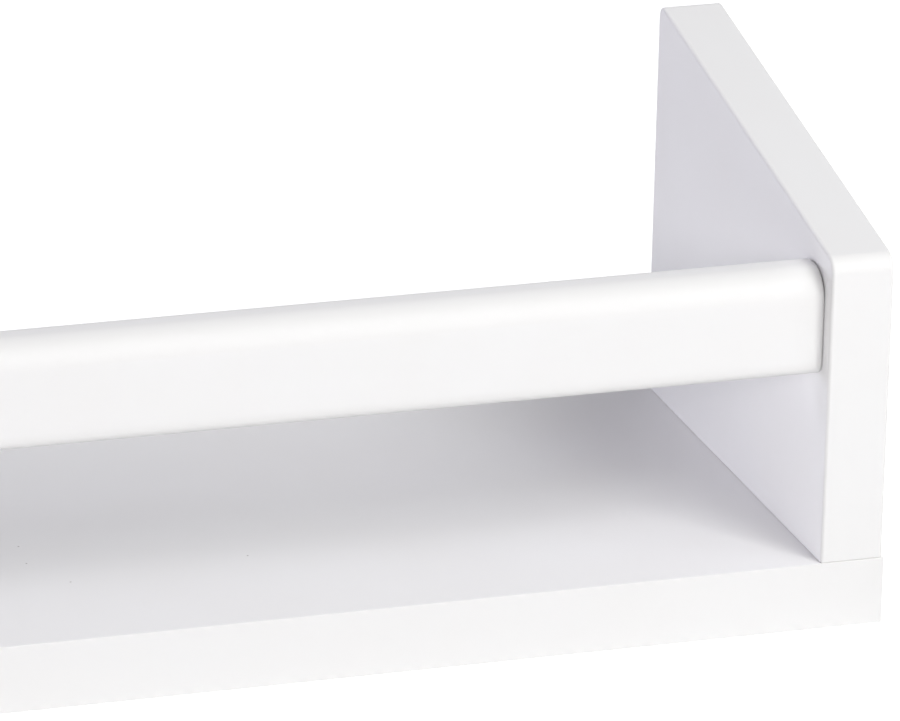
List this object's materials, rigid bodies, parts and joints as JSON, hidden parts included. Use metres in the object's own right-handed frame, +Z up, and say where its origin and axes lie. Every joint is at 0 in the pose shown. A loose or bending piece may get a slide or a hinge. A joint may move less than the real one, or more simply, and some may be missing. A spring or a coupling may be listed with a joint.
{
  "type": "wall book ledge",
  "caption": "Wall-hung book ledge: a shelf board with tapered end panels and a rounded front rail that keeps books from sliding off, hung on keyhole plates.",
  "frame": {"origin": "middle of the shelf board's underside", "axes": "+X along the ledge to the right as seen from the room, +Y towards the wall, +Z up"},
  "size_m": [0.6024, 0.12, 0.1127],
  "materials": {
    "board_lacquer": "satin white lacquer on fibreboard",
    "panel_lacquer": "satin white lacquer on fibreboard",
    "rail_lacquer": "satin white lacquer on a wooden rail",
    "screw_zinc": "zinc plated steel",
    "dowel_beech": "raw beech",
    "cap_plastic": "moulded white plastic",
    "plate_zinc": "zinc plated sheet steel"
  },
  "bodies": {
    "root": {"bottom_board": "board_lacquer", "end_panel_left": "panel_lacquer", "end_panel_right": "panel_lacquer", "front_rail": "rail_lacquer", "panel_screw_left_front": "screw_zinc", "panel_screw_left_back": "screw_zinc", "panel_screw_right_front": "screw_zinc", "panel_screw_right_back": "screw_zinc", "panel_dowel_left_front": "dowel_beech", "panel_dowel_left_back": "dowel_beech", "panel_dowel_right_front": "dowel_beech", "panel_dowel_right_back": "dowel_beech", "rail_screw_left": "screw_zinc", "rail_screw_right": "screw_zinc", "rail_dowel_left": "dowel_beech", "rail_dowel_right": "dowel_beech", "screw_cap_left": "cap_plastic", "screw_cap_right": "cap_plastic", "keyhole_plate_left": "plate_zinc", "keyhole_plate_right": "plate_zinc", "plate_screw_left_upper": "screw_zinc", "plate_screw_left_lower": "screw_zinc", "plate_screw_right_upper": "screw_zinc", "plate_screw_right_lower": "screw_zinc"}
  },
  "joints": []
}
